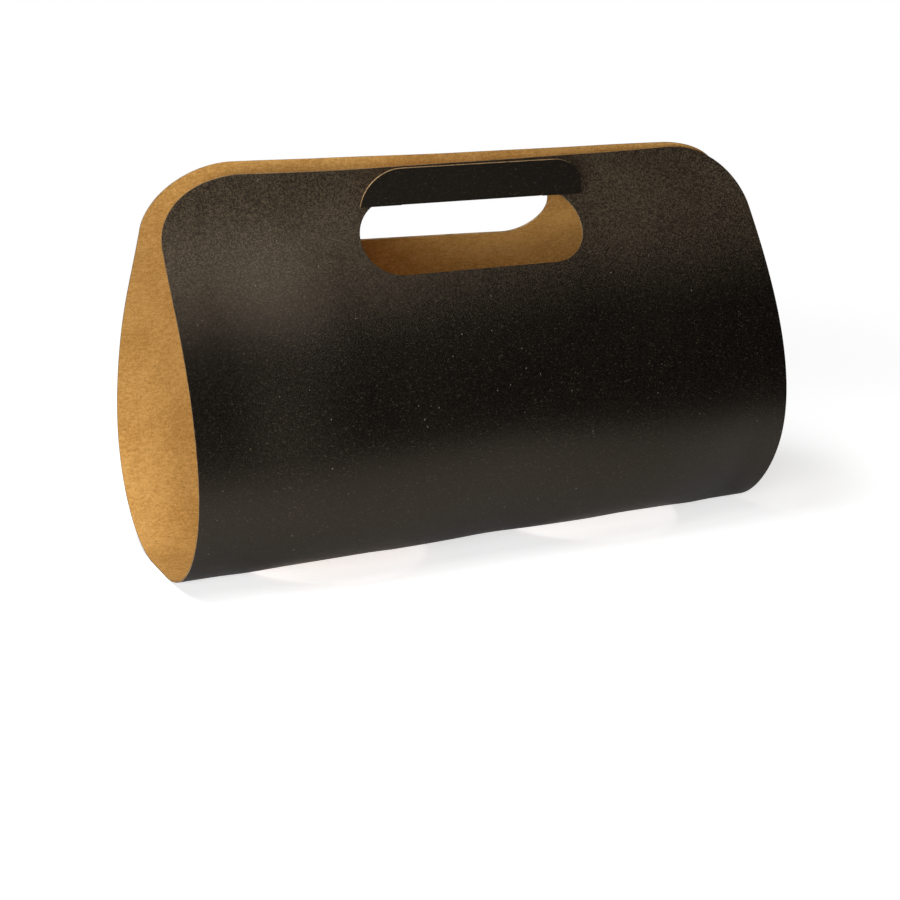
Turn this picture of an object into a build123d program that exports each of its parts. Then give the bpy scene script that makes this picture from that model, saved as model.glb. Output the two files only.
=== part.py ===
"""A carrier bent up from one die-cut sheet of card, with a hand slot in each panel.

X runs along the carrier, Y from the front panel to the back panel, and Z up.
The origin lies on the floor, under the middle of the carrier.
"""
from build123d import *
import math
import os

# The sheet
carrier_length = 240.0
sheet_thickness = 0.6
rest_strip_half = 7.5
end_band = 12.0
span_steps = 3

# How much less of the sheet the front panel has than the back one, at the carrier's two ends
left_shortfall = 2.1
right_shortfall = 1.0

# Height of the back panel's top edge and of the bottom, at five stations along the carrier,
# and how much of the way between two of them the bottom stays at the lower one's height
left_end_height = 150.2
left_cup_height = 147.9
handle_height = 146.3
right_cup_height = 145.1
right_end_height = 144.2
cup_rise = 5.8
middle_rise = 3.9
stay_low_share = 0.17

# How far the sheet leans from level, in degrees, at even steps from the rest strip to the top edge
left_end_lean = (0, 26, 48, 67, 85, 99, 106, 114, 120, 123, 120, 112, 83)
left_cup_lean = (0, 3, 25, 73, 83, 95, 107, 116, 122, 126, 125, 114, 88)
handle_lean = (0, 10, 33, 70, 81, 93, 107, 117, 123, 128, 127, 117, 92)
right_cup_lean = (0, 3, 25, 73, 83, 95, 108, 117, 123, 127, 127, 118, 95)
right_end_lean = (0, 27, 48, 61, 78, 95, 107, 116, 122, 126, 129, 125, 102)

# Round holes in the bottom
cup_spacing = 110.0
cup_hole_radius = 38.5
cup_hole_depth = 25.0

# Rounded top corners, along the carrier and up the panel
corner_length = 32.0
corner_drop = 23.4
corner_cut_depth = 60.0
quarter_turn_angle = 90.0

# Hand slots: sizes along the panel, how the panel leans there, and how each slot lies on it
slot_length = 91.2
front_slot_width = 29.2
back_slot_width = 28.3
slot_lean = 124.0
slot_reach = 16.0
front_slot_height = 121.2
back_slot_height = 123.5
front_slot_shift = -0.6
back_slot_shift = -0.2
front_slot_angle = -0.5
back_slot_angle = 2.2

# Handle flap, from the back slot's top edge through the front slot, and how its fold lies
flap_neck_width = 58.0
flap_left_hinge_run = 20.0
flap_right_hinge_run = 17.8
flap_hinge_rise = 3.4
flap_level_run = 4.8
flap_fold_reach = 11.3
flap_fold_height = 132.1
flap_shift = 1.0
flap_turn_angle = 1.0
flap_dip_angle = 1.5
flap_bend_radius = 0.9
flap_length = 14.5
flap_wing_drop = 0.9
flap_forward_lean = 13.0

# One overrun for the cuts square to the sheet
cut_overrun = 6.0


def panel_stations(leans, rise, height, shortfall):
    """Reach, height and lean of the sheet's middle layer at each step, up to the top edge."""
    turns = [math.radians(b - a) for a, b in zip(leans, leans[1:])]
    courses = [math.radians(a + b) / 2 for a, b in zip(leans, leans[1:])]
    chords = [math.sin(turn / 2) / (turn / 2) if turn else 1.0 for turn in turns]
    step = (height - rise) / sum(c * math.sin(course) for c, course in zip(chords, courses))
    reach, level = rest_strip_half, rise + sheet_thickness / 2
    stations = [(reach, level, 0.0)]
    for chord, course, lean in zip(chords, courses, leans[1:]):
        reach += step * chord * math.cos(course)
        level += step * chord * math.sin(course)
        stations.append((reach, level, math.radians(lean)))
    reach, level, lean = stations[-1]
    stations[-1] = (reach - shortfall * math.cos(lean), level - shortfall * math.sin(lean), lean)
    return stations


def panel_edge(stations, side, layer):
    """Points and end directions of one face of a panel.

    Side is -1 for the front panel and 1 for the back one, and layer is 1 outside and -1 inside.
    """
    half = layer * sheet_thickness / 2
    points = [(side * (y + half * math.sin(a)), z - half * math.cos(a)) for y, z, a in stations]
    lean = stations[-1][2]
    return points, [(side, 0), (side * math.cos(lean), math.sin(lean))]


def edge_shortfall(place):
    """How much less of the sheet the front panel has than the back one, at a place along the carrier."""
    share = 0.5 + place / (carrier_length - 2 * end_band)
    return left_shortfall + (right_shortfall - left_shortfall) * share


def sheet_section(place, leans, rise, height):
    """Face of the bent sheet, cut across at a place along the carrier."""
    front = panel_stations(leans, rise, height, edge_shortfall(place))
    back = panel_stations(leans, rise, height, 0)
    edges = []
    with BuildSketch(Plane.YZ.offset(place)) as section:
        with BuildLine():
            for side, stations in ((-1, front), (1, back)):
                for layer in (1, -1):
                    points, directions = panel_edge(stations, side, layer)
                    edges.append(Spline(points, tangents=directions, tangent_scalars=(1, 1)))
            front_outer, front_inner, back_outer, back_inner = edges
            Line(front_outer @ 0, back_outer @ 0)
            Line(front_inner @ 0, back_inner @ 0)
            Line(front_outer @ 1, front_inner @ 1)
            Line(back_outer @ 1, back_inner @ 1)
        make_face()
    return section.sketch


half_length = carrier_length / 2
cup_place = cup_spacing / 2
band_start = half_length - end_band

# Bent shapes of the sheet at five stations: place along the carrier, leans, rise and height
stations = (
    (-band_start, left_end_lean, 0.0, left_end_height),
    (-cup_place, left_cup_lean, cup_rise, left_cup_height),
    (0.0, handle_lean, middle_rise, handle_height),
    (cup_place, right_cup_lean, cup_rise, right_cup_height),
    (band_start, right_end_lean, 0.0, right_end_height),
)


def ease(share):
    """Share of a change that starts and ends gently, at a share of the way."""
    return share * share * (3 - 2 * share)


def between(first, second, share):
    """Section at a share of the way from one station to the next."""
    leans = tuple(a + (b - a) * ease(share) for a, b in zip(first[1], second[1]))
    place, height = (a + (b - a) * share for a, b in ((first[0], second[0]), (first[3], second[3])))
    low, high = sorted((first[2], second[2]))
    past = share if low == first[2] else 1 - share
    rise = low + (high - low) * ease(max(past - stay_low_share, 0) / (1 - stay_low_share))
    return place, leans, rise, height


def edge_height(place):
    """Height of the back panel's top edge at a place along the carrier."""
    for (x0, _, _, h0), (x1, _, _, h1) in zip(stations, stations[1:]):
        if x0 <= place <= x1:
            return h0 + (h1 - h0) * (place - x0) / (x1 - x0)


# Handle flap, drawn about the middle of its fold: X along the fold, Y to the back, Z up
lean = math.radians(flap_forward_lean)
upright = (-math.sin(lean), math.cos(lean))
bend_length = 2 * flap_bend_radius
half_neck = flap_neck_width / 2
hinge_run = (flap_left_hinge_run + flap_right_hinge_run) / 2
rising_run = math.hypot(hinge_run - flap_level_run, flap_hinge_rise)
neck_y = (hinge_run - flap_level_run) / rising_run
neck_z = flap_hinge_rise / rising_run

with BuildPart() as handle_flap:
    # Rising part of the neck, with a slanted hinge edge
    with BuildSketch(Plane(origin=(0, flap_level_run, 0), x_dir=(1, 0, 0), z_dir=(0, -neck_z, neck_y))):
        with BuildLine():
            Polyline(
                (-half_neck, bend_length),
                (half_neck, bend_length),
                (half_neck, (flap_right_hinge_run - flap_level_run) / neck_y),
                (-half_neck, (flap_left_hinge_run - flap_level_run) / neck_y),
                close=True,
            )
        make_face()
    extrude(amount=sheet_thickness / 2, both=True)

    # Level part of the neck and the fold
    with BuildSketch(Plane.YZ):
        with BuildLine():
            FilletPolyline(
                (flap_level_run + bend_length * neck_y, bend_length * neck_z),
                (flap_level_run, 0),
                (0, 0),
                (bend_length * upright[0], bend_length * upright[1]),
                radius=flap_bend_radius,
            )
        trace(line_width=sheet_thickness)
    extrude(amount=half_neck, both=True)

    # Face: the far part of a slot's outline, with a wing each side of the neck
    with BuildSketch(Plane(origin=(0, 0, 0), x_dir=(1, 0, 0), z_dir=(0, -upright[1], upright[0]))):
        with Locations((0, flap_length - back_slot_width / 2)):
            SlotOverall(slot_length, back_slot_width)
        with Locations((0, -flap_wing_drop)):
            Rectangle(slot_length, slot_length, align=(Align.CENTER, Align.MIN), mode=Mode.INTERSECT)
            Rectangle(
                flap_neck_width,
                flap_wing_drop + bend_length,
                align=(Align.CENTER, Align.MIN),
                mode=Mode.SUBTRACT,
            )
    extrude(amount=sheet_thickness / 2, both=True)

# Where the fold lies: it turns towards the back and dips, going along the carrier
turn = math.radians(flap_turn_angle)
dip = math.radians(flap_dip_angle)
along = (math.cos(turn) * math.cos(dip), math.sin(turn) * math.cos(dip), -math.sin(dip))
fold_middle = (flap_shift, -flap_fold_reach, flap_fold_height)
fold_line = Plane(origin=fold_middle, x_dir=along, z_dir=(-along[2], 0, along[0]))

with BuildPart() as carrier_sheet:
    # The sheet between its two end bands, and the bands
    spans = list(zip(stations, stations[1:]))
    sections = [between(*span, step / span_steps) for span in spans for step in range(span_steps)]
    faces = [sheet_section(*section) for section in sections + [stations[-1]]]
    loft(sections=faces)
    extrude(faces[0], amount=-end_band)
    extrude(faces[-1], amount=end_band)

    # Rounded top corners of both panels
    for side in (-1, 1):
        for end in (-1, 1):
            shoulder = end * (half_length - corner_length)
            top = edge_height(shoulder) - (edge_shortfall(shoulder) if side < 0 else 0)
            with BuildSketch(Plane.XZ):
                with BuildLine():
                    Polyline(
                        (shoulder, top),
                        (shoulder, top + corner_drop),
                        (end * (half_length + corner_length), top + corner_drop),
                        (end * (half_length + corner_length), top - corner_drop),
                        (end * half_length, top - corner_drop),
                    )
                    EllipticalCenterArc(
                        (shoulder, top - corner_drop),
                        corner_length,
                        corner_drop,
                        start_angle=0 if end > 0 else quarter_turn_angle,
                        arc_size=quarter_turn_angle,
                    )
                make_face()
            extrude(amount=-side * corner_cut_depth, mode=Mode.SUBTRACT)

    # Hand slots, cut square to each panel
    outward_y = math.sin(math.radians(slot_lean))
    outward_z = -math.cos(math.radians(slot_lean))
    for side, height, shift, angle, width in (
        (-1, front_slot_height, front_slot_shift, front_slot_angle, front_slot_width),
        (1, back_slot_height, back_slot_shift, back_slot_angle, back_slot_width),
    ):
        middle = (shift, side * slot_reach, height)
        with BuildSketch(Plane(origin=middle, x_dir=(1, 0, 0), z_dir=(0, side * outward_y, outward_z))):
            SlotOverall(slot_length, width, rotation=angle)
        extrude(amount=cut_overrun, both=True, mode=Mode.SUBTRACT)

    # Round holes through the bottom
    with BuildSketch(Plane.XY.offset(-cut_overrun)):
        with Locations((-cup_place, 0), (cup_place, 0)):
            Circle(cup_hole_radius)
    extrude(amount=cut_overrun + cup_hole_depth, mode=Mode.SUBTRACT)

    # Handle flap
    with Locations(fold_line.location):
        add(handle_flap.part)

carrier_sheet.part.label = "carrier_sheet"
os.makedirs("parts", exist_ok=True)
export_step(carrier_sheet.part, "parts/carrier_sheet.step")
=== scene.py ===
"""Card carrier bent up from one die-cut sheet: satin black print outside, brown kraft inside.

X runs along the carrier, Y from the front panel to the back panel, and Z up. Sizes are in
millimetres until a mesh is made, and the meshes are in metres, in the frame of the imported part.
The finishes, the floor and the lamps are in metres throughout.
"""

import logging
import math
from dataclasses import dataclass, field
from enum import Enum
from typing import Callable, Optional, Sequence, Union

import bpy
import numpy as np
from mathutils import Matrix, Vector
from mathutils.geometry import delaunay_2d_cdt


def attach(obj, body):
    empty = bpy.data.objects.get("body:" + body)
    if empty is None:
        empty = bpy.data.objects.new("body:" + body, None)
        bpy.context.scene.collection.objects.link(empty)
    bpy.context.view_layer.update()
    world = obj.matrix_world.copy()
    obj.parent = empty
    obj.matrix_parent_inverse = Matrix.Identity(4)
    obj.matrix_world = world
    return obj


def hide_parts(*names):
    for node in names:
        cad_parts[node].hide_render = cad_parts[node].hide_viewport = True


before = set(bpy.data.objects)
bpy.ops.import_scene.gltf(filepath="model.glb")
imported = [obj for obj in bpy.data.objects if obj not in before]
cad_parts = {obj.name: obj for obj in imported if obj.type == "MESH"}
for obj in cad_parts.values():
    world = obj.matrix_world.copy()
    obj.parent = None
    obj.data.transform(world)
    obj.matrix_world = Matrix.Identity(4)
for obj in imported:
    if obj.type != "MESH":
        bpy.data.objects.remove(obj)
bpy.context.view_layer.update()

MM = 0.001
MIX_FACTOR, MIX_FIRST, MIX_SECOND = 0, 6, 7
NOISE_MIDDLE = 0.5
log = logging.getLogger("carrier")

Number = Union[int, float]
Band = tuple[float, float]
Colour = tuple[float, float, float]
Leans = tuple[float, ...]
WHITE: Colour = (1.0, 1.0, 1.0)


class Side(Enum):
    """The two panels of the carrier, by the sign of their place along Y."""

    FRONT = -1
    BACK = 1


class Layer(Enum):
    """The faces of the card, by the order of their materials on a piece."""

    PRINTED = 0
    KRAFT = 1
    CUT = 2


def opaque(colour: Colour) -> tuple[float, float, float, float]:
    """Adds full alpha to a colour."""
    return (*colour, 1.0)


class Value:
    """One output socket, so that sums on it add Math nodes to its tree."""

    def __init__(self, tree: "FinishTree", socket: Optional[bpy.types.NodeSocket]) -> None:
        """Wraps a socket of a tree."""
        self.tree = tree
        self.socket = socket

    def _math(self, operation: str, first: "Operand", second: "Operand") -> "Value":
        """Adds one Math node.

        Args:
            operation: The node's operation.
            first: What goes into its first socket.
            second: What goes into its second socket.

        Returns:
            The node's result.
        """
        return self.tree.add("ShaderNodeMath", {"operation": operation}, {0: first, 1: second})

    def __add__(self, other: "Operand") -> "Value":
        """Sum."""
        return self._math("ADD", self, other)

    def __radd__(self, other: "Operand") -> "Value":
        """Sum, the other way round."""
        return self._math("ADD", other, self)

    def __sub__(self, other: "Operand") -> "Value":
        """Difference."""
        return self._math("SUBTRACT", self, other)

    def __rsub__(self, other: "Operand") -> "Value":
        """Difference, the other way round."""
        return self._math("SUBTRACT", other, self)

    def __mul__(self, other: "Operand") -> "Value":
        """Product."""
        return self._math("MULTIPLY", self, other)

    def __rmul__(self, other: "Operand") -> "Value":
        """Product, the other way round."""
        return self._math("MULTIPLY", other, self)


Operand = Union[Value, Number]
Input = Union[Value, Number, Sequence[float]]


@dataclass(frozen=True)
class Noise:
    """A noise pattern.

    Scale is its grains per metre, detail its octaves, roughness the weight of the finer octaves,
    and an along of less than 1 stretches the grains along the carrier.
    """

    scale: float
    detail: float = 2.0
    roughness: float = 0.5
    along: float = 1.0


@dataclass(frozen=True)
class Relief:
    """How strongly a pattern shows as bumps, and how deep they are in metres."""

    strength: float
    depth: float


class FinishTree:
    """The node tree of one material or of the world, with one method that adds any node."""

    def __init__(self, owner: Union[bpy.types.Material, bpy.types.World]) -> None:
        """Clears the owner's nodes and keeps its tree.

        Args:
            owner: The material or world.
        """
        owner.use_nodes = True
        self.nodes = owner.node_tree.nodes
        self.links = owner.node_tree.links
        self.nodes.clear()

    def add(
        self,
        kind: str,
        settings: Optional[dict[str, object]] = None,
        inputs: Optional[dict[Union[str, int], Input]] = None,
        output: Union[str, int] = 0,
    ) -> Value:
        """Adds a node of any type.

        Args:
            kind: The node's type.
            settings: Its properties, which are set first.
            inputs: Values or links by socket name or number.
            output: The name of the socket that is handed back, or its number among those in use.

        Returns:
            The wrapped output socket, or an empty one for a node without outputs.
        """
        node = self.nodes.new(kind)
        for name, value in (settings or {}).items():
            setattr(node, name, value)
        for name, value in (inputs or {}).items():
            if isinstance(value, Value):
                self.links.new(value.socket, node.inputs[name])
            else:
                node.inputs[name].default_value = value
        if len(node.outputs) == 0:
            return Value(self, None)
        in_use = [socket for socket in node.outputs if socket.enabled]
        return Value(self, in_use[output] if isinstance(output, int) else node.outputs[output])

    def place(self) -> Value:
        """Adds the place on the object, in metres."""
        return self.add("ShaderNodeTexCoord", output="Object")

    def noise(self, place: Value, pattern: Noise) -> Value:
        """Adds a noise pattern.

        Args:
            place: Where the pattern is read.
            pattern: The pattern.

        Returns:
            The pattern, from 0 to 1 about its middle.
        """
        if pattern.along != 1.0:
            factors = (pattern.along, 1.0, 1.0)
            sockets = {0: place, 1: factors}
            place = self.add("ShaderNodeVectorMath", {"operation": "MULTIPLY"}, sockets)
        sockets = {
            "Vector": place,
            "Scale": pattern.scale,
            "Detail": pattern.detail,
            "Roughness": pattern.roughness,
        }
        return self.add("ShaderNodeTexNoise", None, sockets)

    def between(self, value: Value, band: Band) -> Value:
        """Maps a band of a value to 0..1, smoothly and clamped.

        Args:
            value: What is mapped.
            band: What becomes 0, and what becomes 1.

        Returns:
            The mapped value.
        """
        sockets = {"Value": value, "From Min": band[0], "From Max": band[1]}
        return self.add("ShaderNodeMapRange", {"interpolation_type": "SMOOTHSTEP"}, sockets)

    def mix(
        self, factor: Operand, first: Union[Value, Colour], second: Union[Value, Colour]
    ) -> Value:
        """Mixes two colours.

        Args:
            factor: The second colour's share.
            first: The first colour.
            second: The second colour.

        Returns:
            The mixed colour.
        """
        first, second = (c if isinstance(c, Value) else opaque(c) for c in (first, second))
        sockets = {MIX_FACTOR: factor, MIX_FIRST: first, MIX_SECOND: second}
        return self.add("ShaderNodeMix", {"data_type": "RGBA"}, sockets)

    def mix_shaders(self, factor: Operand, first: Value, second: Value) -> Value:
        """Mixes two shaders.

        Args:
            factor: The second shader's share.
            first: The first shader.
            second: The second shader.

        Returns:
            The mixed shader.
        """
        return self.add("ShaderNodeMixShader", None, {0: factor, 1: first, 2: second})

    def dress(
        self,
        colour: Value,
        height: Value,
        relief: Relief,
        roughness: Operand,
        specular: float,
        tint: Colour = WHITE,
    ) -> None:
        """Ends the tree in one bumpy surface.

        Args:
            colour: Its colour.
            height: The pattern that stands up from it.
            relief: The strength and depth of the pattern's bumps.
            roughness: Its roughness.
            specular: The level of its sheen.
            tint: The colour of its sheen.
        """
        sockets = {"Strength": relief.strength, "Distance": relief.depth, "Height": height}
        bump = self.add("ShaderNodeBump", None, sockets)
        sockets = {
            "Base Color": colour,
            "Roughness": roughness,
            "Specular IOR Level": specular,
            "Specular Tint": opaque(tint),
            "Normal": bump,
        }
        shader = self.add("ShaderNodeBsdfPrincipled", None, sockets)
        self.add("ShaderNodeOutputMaterial", None, {"Surface": shader})


def weighted(patterns: Sequence[Value], weights: Sequence[float]) -> Value:
    """Adds patterns up by their weights.

    Args:
        patterns: The patterns.
        weights: One weight for each pattern.

    Returns:
        The sum.
    """
    total, *rest = (pattern * weight for pattern, weight in zip(patterns, weights))
    for term in rest:
        total = total + term
    return total


@dataclass(frozen=True)
class BlackPrint:
    """Satin black print over kraft card: brown fibres show through, more so in the painted sheen.

    A painted sheen lightens the print towards the top, where light falls on it. It comes in over a
    band of heights, and the follow share is how much of it keeps to the worn patches.
    """

    name: str = "black_print"
    ink: Colour = (0.0010, 0.0009, 0.0009)
    worn: Colour = (0.0065, 0.0050, 0.0035)
    fibre: Colour = (0.050, 0.037, 0.024)
    # Painted sheen: a lighter brown that stands in for light falling on the upper panel
    painted_sheen: Colour = (0.125, 0.092, 0.059)
    speck: Colour = (0.20, 0.18, 0.15)
    sheen_tint: Colour = (1.0, 0.82, 0.62)
    roughness: float = 0.36
    roughness_spread: float = 0.16
    specular: float = 0.5
    relief: Relief = Relief(0.5, 0.0002)
    cloud: Noise = Noise(38.0, 3.0)
    mottle: Noise = Noise(1150.0, 3.0, 0.65)
    grain: Noise = Noise(2300.0, 2.0, 0.6)
    strands: Noise = Noise(1500.0, 1.0, along=0.6)
    rare: Noise = Noise(300.0, 1.0)
    speck_scale: float = 420.0
    wear_weights: tuple[float, ...] = (0.1, 0.45, 0.45)
    wear_band: Band = (0.44, 0.59)
    strand_band: Band = (0.60, 0.72)
    grain_band: Band = (0.44, 0.60)
    fibre_share: float = 0.75
    painted_sheen_band: Band = (0.088, 0.130)
    painted_sheen_follow: float = 0.8
    painted_sheen_share: float = 0.55
    speck_band: Band = (0.05, 0.14)
    rare_band: Band = (0.62, 0.68)
    speck_share: float = 0.8
    height_weights: tuple[float, ...] = (0.5, 0.35, 0.3)

    def material(self) -> bpy.types.Material:
        """Builds the print's material.

        Returns:
            The new material.
        """
        made = bpy.data.materials.new(self.name)
        tree = FinishTree(made)
        place = tree.place()
        cloud, mottle, grain, strands, rare = (
            tree.noise(place, pattern)
            for pattern in (self.cloud, self.mottle, self.grain, self.strands, self.rare)
        )
        level = tree.add("ShaderNodeSeparateXYZ", None, {0: place}, "Z")
        spots = tree.add("ShaderNodeTexVoronoi", None, {"Vector": place, "Scale": self.speck_scale})

        wear = tree.between(weighted((cloud, mottle, grain), self.wear_weights), self.wear_band)
        fibres = tree.between(strands, self.strand_band) * tree.between(grain, self.grain_band)
        # Painted sheen: the print is lightened towards the top, where light falls, mostly along the
        # worn patches
        painted_sheen_mask = tree.between(level, self.painted_sheen_band) * (1 - self.painted_sheen_follow + self.painted_sheen_follow * wear)
        specks = (1 - tree.between(spots, self.speck_band)) * tree.between(rare, self.rare_band)
        colour = tree.mix(wear, self.ink, self.worn)
        colour = tree.mix(fibres * self.fibre_share, colour, self.fibre)
        colour = tree.mix(painted_sheen_mask * self.painted_sheen_share, colour, self.painted_sheen)
        colour = tree.mix(specks * self.speck_share, colour, self.speck)

        height = weighted((mottle, grain, strands), self.height_weights)
        roughness = self.roughness + self.roughness_spread * (mottle - NOISE_MIDDLE)
        tree.dress(colour, height, self.relief, roughness, self.specular, self.sheen_tint)
        return made


@dataclass(frozen=True)
class BrownKraft:
    """Uncoated brown kraft: long fibres along the sheet, soft clouding and dark flecks."""

    name: str = "brown_kraft"
    ground: Colour = (0.53, 0.282, 0.076)
    pale: Colour = (0.64, 0.366, 0.112)
    deep: Colour = (0.40, 0.198, 0.045)
    fleck: Colour = (0.20, 0.095, 0.030)
    roughness: float = 0.9
    specular: float = 0.15
    relief: Relief = Relief(0.3, 0.00015)
    cloud: Noise = Noise(60.0, 4.0, 0.6)
    mottle: Noise = Noise(1150.0, 3.0, 0.65)
    strands: Noise = Noise(1250.0, 2.0, along=0.3)
    flecks: Noise = Noise(900.0, 1.0, along=0.5)
    tone_weights: tuple[float, ...] = (0.25, 0.5, 0.25)
    tone_band: Band = (0.38, 0.62)
    ground_share: float = 0.2
    fleck_band: Band = (0.66, 0.78)
    fleck_share: float = 0.4
    height_weights: tuple[float, ...] = (0.5, 0.5)

    def material(self) -> bpy.types.Material:
        """Builds the kraft's material.

        Returns:
            The new material.
        """
        made = bpy.data.materials.new(self.name)
        tree = FinishTree(made)
        place = tree.place()
        cloud, mottle, strands, flecks = (
            tree.noise(place, pattern)
            for pattern in (self.cloud, self.mottle, self.strands, self.flecks)
        )
        tone = tree.between(weighted((cloud, mottle, strands), self.tone_weights), self.tone_band)
        colour = tree.mix(tone, self.deep, self.pale)
        colour = tree.mix(self.ground_share, colour, self.ground)
        dark = tree.between(flecks, self.fleck_band) * self.fleck_share
        colour = tree.mix(dark, colour, self.fleck)
        height = weighted((mottle, strands), self.height_weights)
        tree.dress(colour, height, self.relief, self.roughness, self.specular)
        return made


@dataclass(frozen=True)
class CutCard:
    """Die-cut edge of the card: brown kraft pulp in thin plies, darkened here and there."""

    name: str = "cut_card"
    pulp: Colour = (0.34, 0.22, 0.11)
    dark: Colour = (0.15, 0.09, 0.04)
    roughness: float = 0.92
    specular: float = 0.1
    relief: Relief = Relief(0.4, 0.0001)
    plies: Noise = Noise(2600.0, 2.0, along=0.4)
    smudge: Noise = Noise(240.0, 2.0)
    tone_weights: tuple[float, ...] = (0.6, 0.4)
    tone_band: Band = (0.36, 0.62)

    def material(self) -> bpy.types.Material:
        """Builds the cut edge's material.

        Returns:
            The new material.
        """
        made = bpy.data.materials.new(self.name)
        tree = FinishTree(made)
        place = tree.place()
        plies, smudge = (tree.noise(place, pattern) for pattern in (self.plies, self.smudge))
        tone = tree.between(weighted((plies, smudge), self.tone_weights), self.tone_band)
        colour = tree.mix(tone, self.dark, self.pulp)
        tree.dress(colour, plies, self.relief, self.roughness, self.specular)
        return made


def eased(share: np.ndarray) -> np.ndarray:
    """Eases shares of a way, so that a change along it starts and ends gently."""
    return share * share * (3 - 2 * share)


@dataclass(frozen=True)
class Station:
    """Bent shape of the sheet at one place along the carrier.

    Leans are the sheet's angles from level in degrees, at even steps from the rest strip to the
    top edge.
    """

    place: float
    leans: Leans
    rise: float
    height: float


@dataclass(frozen=True)
class PanelCurves:
    """Smooth curves up a panel, one for each place along the carrier.

    Points are (reach, height) at each step up from the rest strip, slopes are the curve's rates
    of change there, and chords are the straight distances between the points.
    """

    points: np.ndarray
    slopes: np.ndarray
    chords: np.ndarray

    def read(self, steps: np.ndarray) -> tuple[np.ndarray, np.ndarray]:
        """Reads each curve at one place.

        Args:
            steps: How many steps up from the rest strip each point lies.

        Returns:
            The points as (reach, height), and the directions of the curves there.
        """
        rows = np.arange(len(steps))
        part = np.clip(np.floor(steps).astype(int), 0, self.chords.shape[1] - 1)
        w = (steps - part)[:, None]
        chord = self.chords[rows, part][:, None]
        p0, p1 = self.points[rows, part], self.points[rows, part + 1]
        m0, m1 = self.slopes[rows, part] * chord, self.slopes[rows, part + 1] * chord
        place = (
            p0 * (1 + 2 * w) * (1 - w) ** 2
            + m0 * w * (1 - w) ** 2
            + p1 * w * w * (3 - 2 * w)
            + m1 * w * w * (w - 1)
        )
        course = (p1 - p0) * 6 * w * (1 - w) + m0 * (1 - w) * (1 - 3 * w) + m1 * w * (3 * w - 2)
        return place, course / np.linalg.norm(course, axis=1)[:, None]


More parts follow.
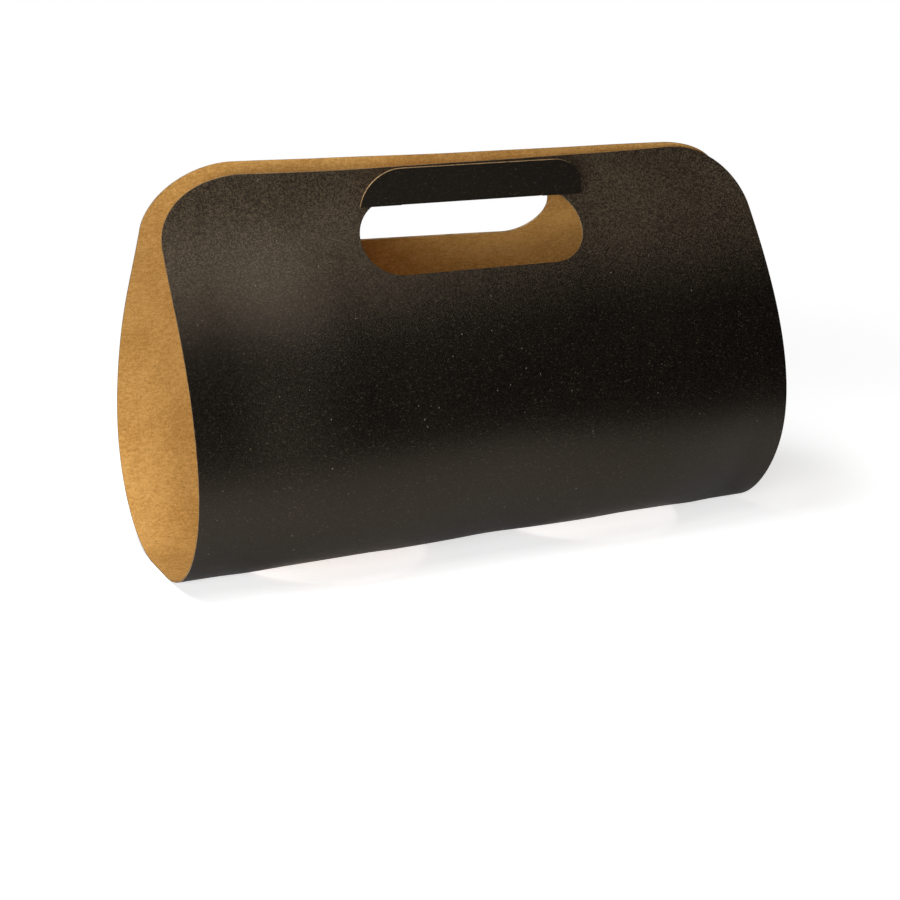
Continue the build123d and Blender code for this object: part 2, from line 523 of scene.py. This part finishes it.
@dataclass(frozen=True)
class BentSheet:
    """The sheet's middle layer: two panels rise from one rest strip and lean in at the top."""

    length: float = 240.0
    thickness: float = 0.6
    rest_strip_half: float = 7.5
    end_band: float = 12.0
    left_shortfall: float = 2.1
    right_shortfall: float = 1.0
    stay_low_share: float = 0.17
    step_run: float = 14.3
    cup_spacing: float = 110.0
    cup_rise: float = 5.8
    middle_rise: float = 3.9
    left_end_height: float = 150.2
    left_cup_height: float = 147.9
    handle_height: float = 146.3
    right_cup_height: float = 145.1
    right_end_height: float = 144.2
    left_end_leans: Leans = (0, 26, 48, 67, 85, 99, 106, 114, 120, 123, 120, 112, 83)
    left_cup_leans: Leans = (0, 3, 25, 73, 83, 95, 107, 116, 122, 126, 125, 114, 88)
    handle_leans: Leans = (0, 10, 33, 70, 81, 93, 107, 117, 123, 128, 127, 117, 92)
    right_cup_leans: Leans = (0, 3, 25, 73, 83, 95, 108, 117, 123, 127, 127, 118, 95)
    right_end_leans: Leans = (0, 27, 48, 61, 78, 95, 107, 116, 122, 126, 129, 125, 102)
    halvings: int = 36

    @property
    def band_start(self) -> float:
        """Place along the carrier where the right end band starts."""
        return self.length / 2 - self.end_band

    @property
    def top_step(self) -> float:
        """How many steps up from the rest strip the top edge lies."""
        return float(len(self.handle_leans) - 1)

    def stations(self) -> tuple[Station, ...]:
        """Lists the bent shapes along the carrier.

        Returns:
            The five shapes, from left to right.
        """
        band, cup = self.band_start, self.cup_spacing / 2
        return (
            Station(-band, self.left_end_leans, 0.0, self.left_end_height),
            Station(-cup, self.left_cup_leans, self.cup_rise, self.left_cup_height),
            Station(0.0, self.handle_leans, self.middle_rise, self.handle_height),
            Station(cup, self.right_cup_leans, self.cup_rise, self.right_cup_height),
            Station(band, self.right_end_leans, 0.0, self.right_end_height),
        )

    def _tables(self, x: np.ndarray) -> tuple[np.ndarray, np.ndarray, np.ndarray]:
        """Works out the leans, rise and height at places along the carrier.

        Args:
            x: The places.

        Returns:
            Leans in radians, one row for each place, and the rises and heights.
        """
        stations = self.stations()
        places = np.array([s.place for s in stations])
        leans = np.radians(np.array([s.leans for s in stations]))
        rises = np.array([s.rise for s in stations])
        heights = np.array([s.height for s in stations])

        x = np.clip(x, places[0], places[-1])
        span = np.clip(np.searchsorted(places, x, side="right") - 1, 0, len(places) - 2)
        share = (x - places[span]) / (places[span + 1] - places[span])
        lean = leans[span] + (leans[span + 1] - leans[span]) * eased(share)[:, None]
        height = heights[span] + (heights[span + 1] - heights[span]) * share

        low = np.minimum(rises[span], rises[span + 1])
        high = np.maximum(rises[span], rises[span + 1])
        past = np.where(rises[span] <= rises[span + 1], share, 1 - share) - self.stay_low_share
        rise = low + (high - low) * eased(np.clip(past / (1 - self.stay_low_share), 0, 1))
        return lean, rise, height

    def curves(self, x: np.ndarray, front: np.ndarray) -> PanelCurves:
        """Fits one panel's smooth curve across the sheet at each place along the carrier.

        Args:
            x: The places.
            front: True where the front panel is meant, which ends a little lower.

        Returns:
            The curves.
        """
        lean, rise, height = self._tables(x)
        turn = np.diff(lean)
        course = (lean[:, 1:] + lean[:, :-1]) / 2
        chord = np.sinc(turn / (2 * math.pi))
        step = ((height - rise) / (chord * np.sin(course)).sum(1))[:, None]
        count = lean.shape[1]
        points = np.zeros((len(x), count, 2))
        points[:, 0, 0] = self.rest_strip_half
        points[:, 0, 1] = rise + self.thickness / 2
        points[:, 1:, 0] = self.rest_strip_half + np.cumsum(step * chord * np.cos(course), 1)
        points[:, 1:, 1] = points[:, :1, 1] + np.cumsum(step * chord * np.sin(course), 1)
        ends = np.stack([np.cos(lean[:, -1]), np.sin(lean[:, -1])], 1)
        bands = (-self.band_start, self.band_start)
        shortfall = np.interp(x, bands, (self.left_shortfall, self.right_shortfall))
        points[:, -1] -= np.where(front, shortfall, 0.0)[:, None] * ends

        # A cubic spline through the points, level at the rest strip and at the last lean on top
        chords = np.linalg.norm(np.diff(points, axis=1), axis=2)
        grades = np.diff(points, axis=1) / chords[..., None]
        system = np.zeros((len(x), count, count))
        right = np.zeros((len(x), count, 2))
        system[:, 0, 0] = system[:, -1, -1] = 1.0
        right[:, 0, 0] = 1.0
        right[:, -1] = ends
        for i in range(1, count - 1):
            before, after = chords[:, i - 1], chords[:, i]
            system[:, i, i - 1] = after
            system[:, i, i] = 2 * (before + after)
            system[:, i, i + 1] = before
            right[:, i] = 3 * (after[:, None] * grades[:, i - 1] + before[:, None] * grades[:, i])
        return PanelCurves(points, np.linalg.solve(system, right), chords)

    def place(self, flat: np.ndarray) -> tuple[np.ndarray, np.ndarray]:
        """Bends points of the flat sheet into shape.

        Args:
            flat: Points as (place along the carrier, run across it from the middle line).

        Returns:
            The points of the middle layer in space, and the outward directions there.
        """
        x, run = flat[:, 0], flat[:, 1]
        side = np.where(run < 0, -1.0, 1.0)
        curves = self.curves(x, run < 0)
        level = np.abs(run) <= self.rest_strip_half
        steps = np.clip((np.abs(run) - self.rest_strip_half) / self.step_run, 0, None)
        point, course = curves.read(steps)
        point[level, 0] = np.abs(run[level])
        point[level, 1] = curves.points[level, 0, 1]
        course[level] = (1.0, 0.0)
        places = np.stack([x, side * point[:, 0], point[:, 1]], 1)
        outward = np.stack([np.zeros_like(x), side * course[:, 1], -course[:, 0]], 1)
        return places, outward

    def find_run(
        self,
        x: np.ndarray,
        side: Side,
        steps: Band,
        miss: Callable[[np.ndarray], np.ndarray],
    ) -> np.ndarray:
        """Finds where a measure of the curve passes zero, going up the panel, by halving.

        Args:
            x: Places along the carrier.
            side: The panel.
            steps: Steps up from the rest strip where the search starts and ends.
            miss: Gives, for points (reach, height), a number that is negative before the place.

        Returns:
            The run across the sheet at each place, negative on the front panel.
        """
        curves = self.curves(x, np.full(len(x), side is Side.FRONT))
        below, above = (np.full(len(x), step) for step in steps)
        for _ in range(self.halvings):
            middle = (below + above) / 2
            short = miss(curves.read(middle)[0]) < 0
            below, above = np.where(short, middle, below), np.where(short, above, middle)
        return side.value * (self.rest_strip_half + (below + above) / 2 * self.step_run)


@dataclass
class CutOutline:
    """A flat outline with holes, cut from card and meshed finely.

    Spacing is the pitch of the points inside it, and extra holds more such points. They stay the
    margin share of the spacing away from the edges. Points nearer than the weld are made one, and
    triangles under the least area are dropped.
    """

    outer: np.ndarray
    holes: list[np.ndarray] = field(default_factory=list)
    spacing: float = 2.0
    extra: Optional[np.ndarray] = None
    margin_share: float = 0.55
    weld: float = 1e-7
    least_area: float = 1e-9

    def loops(self) -> list[np.ndarray]:
        """Returns the outer outline and the holes' outlines."""
        return [self.outer, *self.holes]

    def inside(self, points: np.ndarray) -> np.ndarray:
        """Says which points lie on the card.

        Args:
            points: Flat points.

        Returns:
            True for each point that is inside the outline and outside the holes.
        """
        x, y = points[:, 0], points[:, 1]
        crossings = np.zeros(len(points), int)
        for loop in self.loops():
            for (x0, y0), (x1, y1) in zip(loop, np.roll(loop, -1, axis=0)):
                if y0 == y1:
                    continue
                spans = (y >= min(y0, y1)) & (y < max(y0, y1))
                crossings += spans & (x < x0 + (y - y0) * (x1 - x0) / (y1 - y0))
        return crossings % 2 == 1

    def _filling(self) -> np.ndarray:
        """Fills the outline with staggered rows of points.

        Returns:
            The points on the card that are clear of its edges.
        """
        low, high = self.outer.min(0), self.outer.max(0)
        row_step = self.spacing * math.sqrt(3) / 2
        found = []
        for number, level in enumerate(np.arange(low[1] + row_step / 2, high[1], row_step)):
            start = low[0] + self.spacing * (0.25 + 0.5 * (number % 2))
            x = np.arange(start, high[0], self.spacing)
            found.append(np.stack([x, np.full(len(x), level)], 1))
        if self.extra is not None:
            found.append(self.extra)
        points = np.concatenate(found)
        clear = np.ones(len(points), bool)
        margin = self.margin_share * self.spacing
        for x, y in np.concatenate(self.loops()):
            clear &= (points[:, 0] - x) ** 2 + (points[:, 1] - y) ** 2 > margin * margin
        return points[clear & self.inside(points)]

    def triangles(self) -> tuple[np.ndarray, np.ndarray, list[np.ndarray]]:
        """Meshes the card.

        Returns:
            The flat points, the triangles, and for each outline its points' numbers in order.
        """
        loops = self.loops()
        starts = np.cumsum([0] + [len(loop) for loop in loops])
        points = np.concatenate([*loops, self._filling()])
        edges = [
            (start + i, start + (i + 1) % len(loop))
            for start, loop in zip(starts, loops)
            for i in range(len(loop))
        ]
        made, _, faces, origins, _, _ = delaunay_2d_cdt(
            [Vector(p) for p in points], edges, [], 0, self.weld
        )
        number = {origin: n for n, several in enumerate(origins) for origin in several}
        flat = np.array([tuple(p) for p in made])
        corners = np.array([f for f in faces if len(f) == 3])
        a, b, c = (flat[corners[:, i]] for i in range(3))
        area = (b[:, 0] - a[:, 0]) * (c[:, 1] - a[:, 1]) - (b[:, 1] - a[:, 1]) * (c[:, 0] - a[:, 0])
        corners[area < 0] = corners[area < 0][:, ::-1]
        corners = corners[self.inside((a + b + c) / 3) & (np.abs(area) > self.least_area)]
        rings = [
            np.array([number[start + i] for i in range(len(loop))])
            for start, loop in zip(starts, loops)
        ]
        return flat, corners, rings


@dataclass
class CardPiece:
    """A piece of card: an outline, the way it is bent, and its thickness."""

    name: str
    outline: CutOutline
    bend: Callable[[np.ndarray], tuple[np.ndarray, np.ndarray]]
    thickness: float

    def _printed_faces(
        self, corners: np.ndarray, middle: np.ndarray, outward: np.ndarray
    ) -> np.ndarray:
        """Turns the triangles so that they face out on the printed side.

        Args:
            corners: The triangles.
            middle: The points of the middle layer.
            outward: The printed side's directions there.

        Returns:
            The triangles of the printed side.
        """
        a, b, c = (middle[corners[:, i]] for i in range(3))
        facing = (np.cross(b - a, c - a) * outward[corners].sum(1)).sum(1)
        return np.where((facing < 0)[:, None], corners[:, ::-1], corners)

    def build(self, materials: Sequence[bpy.types.Material]) -> bpy.types.Object:
        """Meshes the piece and dresses its two faces and its cut edges.

        Args:
            materials: The materials in the order of Layer.

        Returns:
            The new object.
        """
        flat, corners, rings = self.outline.triangles()
        middle, outward = self.bend(flat)
        count = len(flat)
        half = self.thickness / 2
        points = np.concatenate([middle + half * outward, middle - half * outward]) * MM
        outer = self._printed_faces(corners, middle, outward)
        faces = [tuple(f) for f in outer] + [tuple(f) for f in outer[:, ::-1] + count]
        layers = [Layer.PRINTED.value] * len(outer) + [Layer.KRAFT.value] * len(outer)

        # A strip of quads joins the two faces along each outline, with sharp edges
        directed = {(f[i], f[(i + 1) % 3]) for f in outer.tolist() for i in range(3)}
        rims = set()
        for ring in rings:
            for p, q in zip(ring.tolist(), np.roll(ring, -1).tolist()):
                first, second = (q, p) if (p, q) in directed else (p, q)
                faces.append((first, second, second + count, first + count))
                layers.append(Layer.CUT.value)
                rims.update(tuple(sorted((p + layer, q + layer))) for layer in (0, count))

        mesh = bpy.data.meshes.new(self.name)
        mesh.from_pydata([tuple(p) for p in points], [], faces)
        mesh.polygons.foreach_set("material_index", layers)
        mesh.polygons.foreach_set("use_smooth", [True] * len(faces))
        for edge in mesh.edges:
            edge.use_edge_sharp = tuple(sorted(edge.vertices)) in rims
        mesh.validate()
        mesh.update()
        for material in materials:
            mesh.materials.append(material)
        made = bpy.data.objects.new(self.name, mesh)
        bpy.context.scene.collection.objects.link(made)
        return made


def divided(points: Sequence[Sequence[float]], pitch: float) -> np.ndarray:
    """Divides an open run of straight lines into short ones.

    Args:
        points: The run's corners.
        pitch: The longest part.

    Returns:
        The corners and the points between them, without the last corner.
    """
    found = []
    for a, b in zip(np.asarray(points[:-1], float), np.asarray(points[1:], float)):
        count = max(1, math.ceil(np.linalg.norm(b - a) / pitch))
        found.extend(a + (b - a) * i / count for i in range(count))
    return np.array(found)


@dataclass(frozen=True)
class HandSlot:
    """A hand slot as it lies on its panel, with its tilt in degrees up towards the right end."""

    side: Side
    height: float
    shift: float
    tilt: float
    length: float
    width: float
    end_points: int = 46

    def top_edge(self, x: np.ndarray) -> np.ndarray:
        """Returns how far up the panel the straight top edge lies from the slot's middle."""
        tilt = math.radians(self.tilt)
        return self.width / 2 / math.cos(tilt) + (x - self.shift) * math.tan(tilt)

    def outline(self, pitch: float) -> np.ndarray:
        """Traces the slot in its panel's plane.

        Args:
            pitch: The longest part of a straight edge.

        Returns:
            Points as (place along the carrier, distance up the panel from the slot's middle).
        """
        radius = self.width / 2
        straight = self.length / 2 - radius
        turns = np.linspace(-math.pi / 2, math.pi / 2, self.end_points)
        right = np.stack([straight + radius * np.cos(turns), radius * np.sin(turns)], 1)
        across = divided([right[-1], -right[0]], pitch)[1:]
        loop = np.concatenate([right, across, -right, -across])
        tilt = math.radians(self.tilt)
        turn = np.array([[math.cos(tilt), math.sin(tilt)], [-math.sin(tilt), math.cos(tilt)]])
        return loop @ turn + np.array([self.shift, 0.0])


@dataclass
class CarrierSheet:
    """The main sheet: both panels and the bottom, with round corners, slots and bottom holes."""

    form: BentSheet = field(default_factory=BentSheet)
    pitch: float = 1.0
    cup_hole_radius: float = 38.5
    hole_points: int = 250
    hole_steps: Band = (0.0, 4.5)
    corner_length: float = 32.0
    corner_drop: float = 23.4
    corner_points: int = 44
    slot_lean: float = 124.0
    slot_reach: float = 16.0
    front_slot: HandSlot = HandSlot(
        Side.FRONT, height=121.2, shift=-0.6, tilt=-0.5, length=91.2, width=29.2
    )
    back_slot: HandSlot = HandSlot(
        Side.BACK, height=123.5, shift=-0.2, tilt=-2.2, length=91.2, width=28.3
    )

    @property
    def upper_steps(self) -> Band:
        """Steps of the panels' upper half."""
        return self.form.top_step / 2, self.form.top_step

    def _corner(self, side: Side, end: int) -> np.ndarray:
        """Traces a rounded top corner, from the carrier's end in to the straight top edge.

        Args:
            side: The panel.
            end: -1 for the left corner and 1 for the right one.

        Returns:
            Flat points.
        """
        turns = np.linspace(0, math.pi / 2, self.corner_points)
        shoulder = self.form.length / 2 - self.corner_length
        x = end * (shoulder + self.corner_length * np.cos(turns))
        drop = self.corner_drop * (1 - np.sin(turns))
        curves = self.form.curves(x[-1:], np.array([side is Side.FRONT]))
        top = curves.read(np.array([self.form.top_step]))[0][0, 1]
        run = self.form.find_run(x, side, self.upper_steps, lambda p: p[:, 1] - (top - drop))
        return np.stack([x, run], 1)

    def find_slot(self, x: np.ndarray, slot: HandSlot, level: np.ndarray) -> np.ndarray:
        """Finds where cuts square to a panel meet the sheet.

        Args:
            x: Places along the carrier.
            slot: The slot that the cuts belong to.
            level: Distances up the panel from the slot's middle.

        Returns:
            The run across the sheet at each place.
        """
        lean = math.radians(self.slot_lean)
        across, up = math.cos(lean), math.sin(lean)

        def miss(p: np.ndarray) -> np.ndarray:
            """Distance up the panel past the cut."""
            return (p[:, 0] - self.slot_reach) * across + (p[:, 1] - slot.height) * up - level

        return self.form.find_run(x, slot.side, self.upper_steps, miss)

    def _slot(self, slot: HandSlot) -> np.ndarray:
        """Traces a hand slot on the flat sheet."""
        loop = slot.outline(self.pitch)
        return np.stack([loop[:, 0], self.find_slot(loop[:, 0], slot, loop[:, 1])], 1)

    def _bottom_hole(self, place: float) -> np.ndarray:
        """Traces a hole in the bottom, which is round as seen from above.

        Args:
            place: The hole's middle along the carrier.

        Returns:
            Flat points.
        """
        turns = np.arange(0, 2 * math.pi, 2 * math.pi / self.hole_points)
        x = place + self.cup_hole_radius * np.cos(turns)
        y = self.cup_hole_radius * np.sin(turns)
        run = self.form.find_run(x, Side.BACK, self.hole_steps, lambda p: p[:, 0] - np.abs(y))
        run = np.where(np.abs(y) <= self.form.rest_strip_half, y, np.sign(y) * run)
        return np.stack([x, run], 1)

    def outline(self) -> CutOutline:
        """Traces the whole sheet.

        Returns:
            The die-cut outline with its slots and holes.
        """
        corners = [
            self._corner(Side.FRONT, 1)[::-1],
            self._corner(Side.BACK, 1),
            self._corner(Side.BACK, -1)[::-1],
            self._corner(Side.FRONT, -1),
        ]
        loop = []
        for corner, following in zip(corners, corners[1:] + corners[:1]):
            loop += [corner, divided([corner[-1], following[0]], self.pitch)[1:]]
        cup = self.form.cup_spacing / 2
        holes = [
            self._slot(self.front_slot),
            self._slot(self.back_slot),
            self._bottom_hole(-cup),
            self._bottom_hole(cup),
        ]
        return CutOutline(np.concatenate(loop), holes)

    def build(self, materials: Sequence[bpy.types.Material]) -> bpy.types.Object:
        """Builds the sheet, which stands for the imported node.

        Args:
            materials: The materials in the order of Layer.

        Returns:
            The new object.
        """
        piece = CardPiece("carrier_body", self.outline(), self.form.place, self.form.thickness)
        made = piece.build(materials)
        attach(made, "root")
        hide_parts("carrier_sheet")
        return made


@dataclass
class HandleFlap:
    """The flap of the back slot, folded forward through the front slot and up against its edge.

    Its own frame has its origin in the middle of the fold, X along the fold, Y to the back and
    Z up. A slit divides the neck from the wing on each side of it, and the bend rows are extra
    rows of points over the fold, given by their first and last place and their pitch.
    """

    sheet: CarrierSheet
    neck_width: float = 58.0
    neck_run: float = 18.0
    level_run: float = 4.8
    easing_run: float = 2.5
    fold_reach: float = 11.3
    fold_height: float = 132.1
    shift: float = 1.0
    turn_angle: float = 1.0
    dip_angle: float = 1.5
    bend_radius: float = 0.9
    length: float = 14.5
    wing_drop: float = 0.15
    forward_lean: float = 13.0
    slit: float = 0.06
    pitch: float = 0.8
    spacing_share: float = 1.6
    end_points: int = 40
    bend_rows: tuple[float, float, float] = (-0.1, 1.62, 0.2)
    bend_column_pitch: float = 1.0

    @property
    def axes(self) -> np.ndarray:
        """Directions of the flap's own axes.

        Returns:
            Its X, Y and Z, one row each.
        """
        turn, dip = math.radians(self.turn_angle), math.radians(self.dip_angle)
        level = math.cos(dip)
        along = np.array([math.cos(turn) * level, math.sin(turn) * level, -math.sin(dip)])
        up = np.array([-along[2], 0.0, along[0]])
        up /= np.linalg.norm(up)
        return np.stack([along, np.cross(up, along), up])

    @property
    def fold_middle(self) -> np.ndarray:
        """Place of the flap's own origin."""
        return np.array([self.shift, -self.fold_reach, self.fold_height])

    @property
    def upright(self) -> np.ndarray:
        """Direction of the flap's face in its own (Y, Z)."""
        lean = math.radians(self.forward_lean)
        return np.array([-math.sin(lean), math.cos(lean)])

    @property
    def fold_turn(self) -> float:
        """Angle that the card turns through at the fold, in radians."""
        return math.acos(-self.upright[0])

    @property
    def setback(self) -> float:
        """How far from the fold's corner its bend starts and ends."""
        return self.bend_radius * math.tan(self.fold_turn / 2)

    def _hinge(self, x: np.ndarray) -> np.ndarray:
        """Finds the back slot's top edge, where the flap hangs on.

        Args:
            x: Places along the fold.

        Returns:
            Points in the flap's own frame.
        """
        form, slot = self.sheet.form, self.sheet.back_slot
        places = np.clip(x, -self.neck_width / 2, self.neck_width / 2) + self.shift
        run = self.sheet.find_slot(places, slot, slot.top_edge(places))
        middle, _ = form.place(np.stack([places, run], 1))
        return (middle - self.fold_middle) @ self.axes.T

    def _neck(self, x: np.ndarray, share: np.ndarray) -> tuple[np.ndarray, np.ndarray]:
        """Works out the neck, which comes down from the hinge and levels out before the fold.

        Args:
            x: Places along the fold.
            share: How much of the way from the hinge to the fold's bend each point lies.

        Returns:
            Points in the flap's own frame, and the neck's directions there in (Y, Z).
        """
        hinge = self._hinge(x)
        knee, level = np.array([self.level_run, 0.0]), np.array([-1.0, 0.0])
        fall = knee - hinge[:, 1:]
        length = np.linalg.norm(fall, axis=1)
        fall /= length[:, None]
        past = share * (length + self.level_run - self.setback) - length
        ease = np.clip((past + self.easing_run) / (2 * self.easing_run), 0, 1)[:, None]
        on_ease = (
            knee - fall * self.easing_run * (1 - ease) ** 2 + level * self.easing_run * ease**2
        )
        past = past[:, None]
        straight = knee + np.where(past < 0, fall, level) * past
        near = np.abs(past) < self.easing_run
        own_x = hinge[:, :1] + (x[:, None] - hinge[:, :1]) * share[:, None]
        course = fall * (1 - ease) + level * ease
        course /= np.linalg.norm(course, axis=1)[:, None]
        return np.hstack([own_x, np.where(near, on_ease, straight)]), course

    def bend(self, flat: np.ndarray) -> tuple[np.ndarray, np.ndarray]:
        """Bends the flap.

        Args:
            flat: Points as (place along the fold, run from the hinge past the fold).

        Returns:
            The points of the middle layer in space, and the printed side's directions there.
        """
        x, run = flat[:, 0], flat[:, 1]
        upright, setback = self.upright, self.setback
        radius, turn = self.bend_radius, self.fold_turn
        points, course = self._neck(x, np.clip(run / self.neck_run, 0, 1))
        past = run - self.neck_run
        angle = np.clip(past / radius, 0, turn)[:, None]
        on_arc = np.hstack([setback - radius * np.sin(angle), radius * (1 - np.cos(angle))])
        on_face = upright * (past - radius * turn + setback)[:, None]
        beside = np.abs(x) > (self.neck_width + self.slit) / 2
        face = (beside | (past > radius * turn))[:, None]
        arc = ((past > 0) & ~beside)[:, None] & ~face
        place = np.where(face, on_face, np.where(arc, on_arc, points[:, 1:]))
        own_x = np.where(beside | (past > 0), x, points[:, 0])
        course = np.where(arc, np.hstack([-np.cos(angle), np.sin(angle)]), course)
        course = np.where(face, upright, course)
        # The printed side is under the neck and in front of the face
        outward = np.stack([np.zeros_like(x), -course[:, 1], course[:, 0]], 1)
        own = np.hstack([own_x[:, None], place])
        return own @ self.axes + self.fold_middle, outward @ self.axes

    def outline(self) -> CutOutline:
        """Traces the flap.

        Returns:
            Its flat outline: a neck, and past the fold the far part of a slot.
        """
        slot, half_neck = self.sheet.back_slot, self.neck_width / 2
        radius = slot.width / 2
        straight = slot.length / 2 - radius
        fold = self.neck_run + self.bend_radius * self.fold_turn - self.setback
        base, relief = fold - self.wing_drop, fold + 2 * self.bend_radius
        centre, wing = self.length - radius, half_neck + self.slit

        low = math.asin(max(-1.0, -(centre + self.wing_drop) / radius))
        turns = np.linspace(low, math.pi / 2, self.end_points)
        far = fold + centre + radius * np.sin(turns)
        right = np.stack([straight + radius * np.cos(turns), far], 1)
        left = right[::-1] * np.array([-1.0, 1.0])
        neck = [(-half_neck, 0.0), (half_neck, 0.0), (half_neck, relief), (wing, relief)]
        loop = [
            divided(neck, self.pitch),
            divided([(wing, relief), (wing, base), right[0]], self.pitch),
            right,
            divided([right[-1], left[0]], self.pitch)[1:],
            left,
            divided([left[-1], (-wing, base), (-wing, relief)], self.pitch)[1:],
            divided([(-wing, relief), (-half_neck, relief), neck[0]], self.pitch),
        ]
        first, last, row_pitch = self.bend_rows
        rows = self.neck_run + np.arange(first, last, row_pitch)
        pitch = self.bend_column_pitch
        columns = np.arange(pitch - half_neck, half_neck - pitch / 2, pitch)
        extra = np.array([(x, row) for row in rows for x in columns])
        return CutOutline(np.concatenate(loop), [], self.pitch * self.spacing_share, extra)

    def build(self, materials: Sequence[bpy.types.Material]) -> bpy.types.Object:
        """Builds the flap.

        Args:
            materials: The materials in the order of Layer.

        Returns:
            The new object.
        """
        piece = CardPiece("handle_flap", self.outline(), self.bend, self.sheet.form.thickness)
        made = piece.build(materials)
        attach(made, "root")
        return made


@dataclass(frozen=True)
class SoftBox:
    """One soft studio lamp."""

    name: str
    place: tuple[float, float, float]
    aim: tuple[float, float, float]
    size: tuple[float, float]
    power: float

    def build(self) -> bpy.types.Object:
        """Adds the lamp and turns it to its aim.

        Returns:
            The lamp.
        """
        data = bpy.data.lights.new(self.name, "AREA")
        data.shape = "RECTANGLE"
        data.size, data.size_y = self.size
        data.energy = self.power
        lamp = bpy.data.objects.new(self.name, data)
        lamp.location = self.place
        direction = Vector(self.aim) - Vector(self.place)
        lamp.rotation_euler = direction.to_track_quat("-Z", "Y").to_euler()
        bpy.context.scene.collection.objects.link(lamp)
        return lamp


@dataclass
class Studio:
    """A floor and surroundings that show white, soft lamps, and the camera.

    The camera stands at the photograph's angle. To it, the floor is pale with the carrier's
    shadow, and fades to plain white over the fade band. As light on the carrier, the floor goes
    from its near bounce to its far bounce over the bounce band. Both bands are distances from
    the middle.
    """

    floor_half: float = 3.0
    floor_colour: Colour = (0.83, 0.83, 0.83)
    floor_glow: float = 0.62
    near_bounce: Colour = (0.92, 0.92, 0.92)
    far_bounce: Colour = (0.10, 0.10, 0.10)
    bounce_band: Band = (0.16, 0.36)
    fade_band: Band = (0.22, 0.42)
    surround: float = 0.02
    camera_place: tuple[float, float, float] = (-0.36673, -0.7516, 0.31673)
    camera_right: tuple[float, float, float] = (0.90148, -0.43255, 0.01551)
    camera_down: tuple[float, float, float] = (-0.12666, -0.2979, -0.94616)
    camera_ahead: tuple[float, float, float] = (0.41388, 0.85097, -0.32334)
    camera_reach: Band = (0.05, 20.0)
    lens: float = 91.205
    sensor: float = 36.0
    lamps: tuple[SoftBox, ...] = (
        SoftBox("key_box", (-1.0, -1.0, 0.30), (-0.05, 0.0, 0.08), (0.9, 0.7), 22.0),
        SoftBox("near_box", (-0.04, -0.34, 0.62), (-0.05, 0.0, 0.12), (0.25, 0.2), 0.42),
        SoftBox("high_box", (-0.03, -0.50, 0.95), (-0.05, 0.0, 0.12), (0.3, 0.25), 0.5),
        SoftBox("top_box", (-0.22, 0.0, 0.62), (-0.06, 0.0, 0.12), (0.45, 0.22), 2.5),
    )

    def _floor_material(self) -> bpy.types.Material:
        """Builds the floor's material.

        Returns:
            The new material.
        """
        made = bpy.data.materials.new("pale_floor")
        tree = FinishTree(made)
        pale, near, far = (
            tree.add("ShaderNodeBsdfDiffuse", None, {"Color": opaque(colour)})
            for colour in (self.floor_colour, self.near_bounce, self.far_bounce)
        )
        glow, white = (
            tree.add("ShaderNodeEmission", None, {"Color": opaque(WHITE), "Strength": strength})
            for strength in (self.floor_glow, 1.0)
        )
        place = tree.place()
        away = tree.add("ShaderNodeVectorMath", {"operation": "LENGTH"}, {0: place}, "Value")
        lit = tree.add("ShaderNodeAddShader", None, {0: pale, 1: glow})
        shown = tree.mix_shaders(tree.between(away, self.fade_band), lit, white)
        bounce = tree.mix_shaders(tree.between(away, self.bounce_band), near, far)
        seen = tree.add("ShaderNodeLightPath", output="Is Camera Ray")
        shader = tree.mix_shaders(seen, bounce, shown)
        tree.add("ShaderNodeOutputMaterial", None, {"Surface": shader})
        return made

    def floor(self) -> bpy.types.Object:
        """Builds the floor.

        Returns:
            The new object.
        """
        half = self.floor_half
        mesh = bpy.data.meshes.new("floor")
        corners = [(-half, -half, 0.0), (half, -half, 0.0), (half, half, 0.0), (-half, half, 0.0)]
        mesh.from_pydata(corners, [], [(0, 1, 2, 3)])
        mesh.materials.append(self._floor_material())
        made = bpy.data.objects.new("floor", mesh)
        bpy.context.scene.collection.objects.link(made)
        return made

    def surroundings(self) -> None:
        """Sets the world: white to the camera, dim as light."""
        world = bpy.data.worlds.new("studio")
        bpy.context.scene.world = world
        tree = FinishTree(world)
        dim, white = (
            tree.add("ShaderNodeBackground", None, {"Color": opaque(WHITE), "Strength": strength})
            for strength in (self.surround, 1.0)
        )
        seen = tree.add("ShaderNodeLightPath", output="Is Camera Ray")
        shader = tree.mix_shaders(seen, dim, white)
        tree.add("ShaderNodeOutputWorld", None, {"Surface": shader})

    def camera(self) -> bpy.types.Object:
        """Builds the camera at the photograph's viewing angle.

        Returns:
            The new object.
        """
        data = bpy.data.cameras.new("camera")
        data.lens = self.lens
        data.sensor_width = self.sensor
        data.clip_start, data.clip_end = self.camera_reach
        made = bpy.data.objects.new("camera", data)
        directions = (self.camera_right, self.camera_down, self.camera_ahead)
        right, down, ahead = (Vector(direction).normalized() for direction in directions)
        turn = Matrix((right, -down, -ahead)).transposed()
        made.matrix_world = Matrix.Translation(self.camera_place) @ turn.to_4x4()
        bpy.context.scene.collection.objects.link(made)
        bpy.context.scene.camera = made
        return made

    def build(self) -> None:
        """Builds the camera, the floor, the surroundings and the lamps."""
        self.camera()
        self.floor()
        self.surroundings()
        for lamp in self.lamps:
            lamp.build()
        bpy.context.scene.view_settings.view_transform = "Standard"


def main() -> None:
    """Builds the carrier and the studio, and reports each piece."""
    logging.basicConfig(level=logging.INFO, format="%(name)s: %(message)s")
    Studio().build()
    kraft, cut = BrownKraft().material(), CutCard().material()
    sheet_print = BlackPrint().material()
    # The flap's copy of the print has no painted sheen and a lower specular level, so it shows
    # darker than the sheet: a shaded copy of the same print
    shaded_flap_print = BlackPrint("shaded_flap_print", painted_sheen_share=0.0, specular=0.25).material()
    sheet = CarrierSheet()
    for part, outside in ((sheet, sheet_print), (HandleFlap(sheet), shaded_flap_print)):
        piece = part.build((outside, kraft, cut))
        log.info("%s: %d faces", piece.name, len(piece.data.polygons))


if __name__ == "__main__":
    main()
